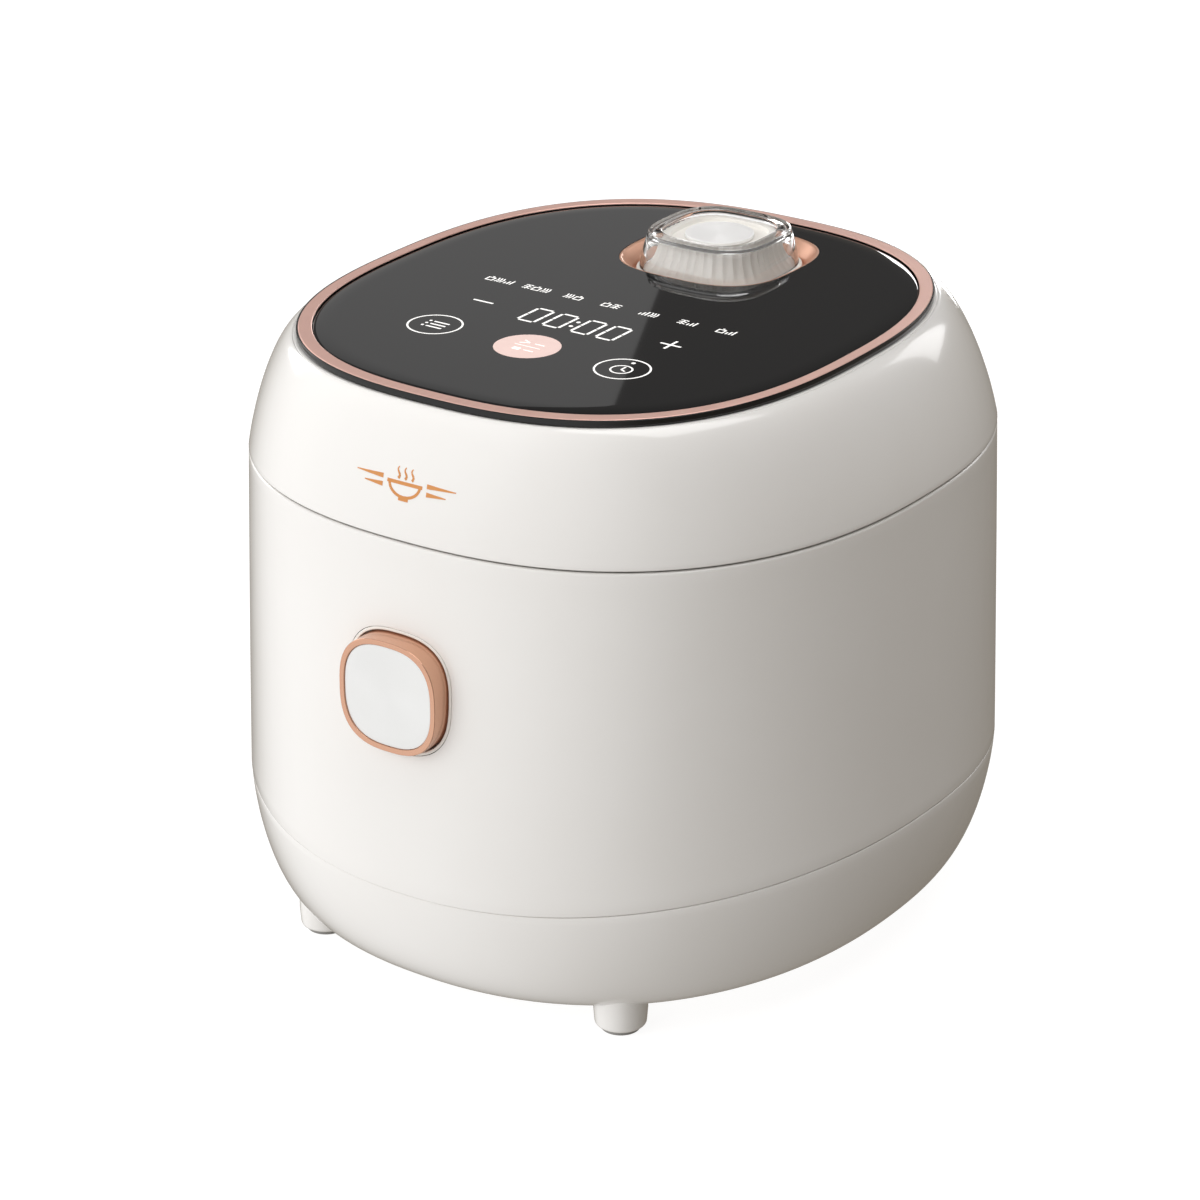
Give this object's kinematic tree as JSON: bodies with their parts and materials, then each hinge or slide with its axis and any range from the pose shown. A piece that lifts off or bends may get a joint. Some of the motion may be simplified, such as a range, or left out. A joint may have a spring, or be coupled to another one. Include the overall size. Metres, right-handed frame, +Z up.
{
  "type": "electric pressure cooker",
  "caption": "Small electric pressure cooker with a hinged lid, a glass touch panel, a lift-off pressure knob under a clear cap and a front push button that releases the lid.",
  "frame": {"origin": "on the floor under the middle of the body", "axes": "+Z up, the front with the release button faces -Y, +X to the right seen from above with the front towards the viewer"},
  "size_m": [0.248, 0.277, 0.2258],
  "materials": {
    "white_plastic": "gloss",
    "black_plastic": "gloss",
    "rose_metal": "satin plated",
    "black_glass": "gloss, coated",
    "stamped_steel": "brushed",
    "spun_metal": "spun",
    "clear_plastic": "clear",
    "silicone": "matte",
    "float_red": "matte",
    "circuit_board": "matte",
    "coated_pot": "non-stick",
    "cast_aluminium": "cast",
    "stand_off_ceramic": "matte",
    "sleeve": "woven sleeve",
    "wire": "matte",
    "box_plastic": "satin"
  },
  "bodies": {
    "lid": {"lid_shell": "white_plastic", "panel_tray": "black_plastic", "trim_ring": "rose_metal", "control_glass": "black_glass", "valve_dish": "rose_metal", "lid_liner": "white_plastic", "inner_lid": "stamped_steel", "inner_lid_nut": "stamped_steel", "sealing_gasket": "silicone", "anti_clog_cover": "stamped_steel", "steam_pipe": "stamped_steel", "display_board": "circuit_board", "lid_striker": "stamped_steel", "hinge_arms": "stamped_steel", "hinge_pin": "stamped_steel", "lid_screws": "stamped_steel", "float_seal": "silicone"},
    "float": {"float_valve": "float_red"},
    "valve": {"valve_weight": "stamped_steel", "valve_knob": "white_plastic", "valve_disc": "spun_metal", "valve_cap": "clear_plastic"},
    "body": {"outer_shell": "white_plastic", "base_shell": "white_plastic", "bottom_cover": "white_plastic", "rim_collar": "white_plastic", "hinge_bracket": "stamped_steel", "hinge_cover": "white_plastic", "hinge_springs": "stamped_steel", "foot_front_left": "white_plastic", "foot_front_right": "white_plastic", "foot_rear_left": "white_plastic", "foot_rear_right": "white_plastic", "foot_pads": "silicone", "inner_pot": "coated_pot", "heat_shield": "stamped_steel", "heating_plate": "cast_aluminium", "plate_insulators": "stand_off_ceramic", "sensor_spring": "stamped_steel", "pressure_switch": "black_plastic", "thermal_fuse": "sleeve", "power_board": "circuit_board", "wiring": "wire", "power_inlet": "black_plastic", "bottom_screws": "stamped_steel", "condensate_holder": "white_plastic", "button_surround": "white_plastic", "button_guide": "white_plastic", "button_spring": "stamped_steel", "latch_pin": "stamped_steel"},
    "sensor": {"sensor_cap": "spun_metal"},
    "condensate": {"condensate_box": "box_plastic"},
    "button": {"button_bezel": "rose_metal", "button_disc": "spun_metal"},
    "latch": {"latch_hook": "stamped_steel"}
  },
  "joints": [
    {"name": "lid_hinge", "type": "hinge", "parent": "body", "child": "lid", "pos_m": [0, 0.104, 0.184], "axis": [-1, 0, 0], "range_deg": [0, 85]},
    {"name": "float_lift", "type": "slide", "parent": "lid", "child": "float", "axis": [0, 0, 1], "range_m": [0, 0.004]},
    {"name": "valve_lift", "type": "slide", "parent": "lid", "child": "valve", "axis": [0, 0, 1], "range_m": [0, 0.006]},
    {"name": "sensor_press", "type": "slide", "parent": "body", "child": "sensor", "axis": [0, 0, 1], "range_m": [-0.002, 0], "stiffness_N_per_m": 1500, "springref_m": 0.001},
    {"name": "condensate_slide", "type": "slide", "parent": "body", "child": "condensate", "axis": [0, 1, 0], "range_m": [0, 0.014]},
    {"name": "button_press", "type": "slide", "parent": "body", "child": "button", "axis": [0, 1, 0], "range_m": [0, 0.003], "stiffness_N_per_m": 1000, "springref_m": -0.002},
    {"name": "latch_turn", "type": "hinge", "parent": "body", "child": "latch", "pos_m": [0, -0.104, 0.146], "axis": [1, 0, 0], "range_deg": [0, 7]}
  ],
  "couplings": [
    {"joint": "latch_turn", "follows": "button_press", "rad_per_m": 39.063}
  ]
}
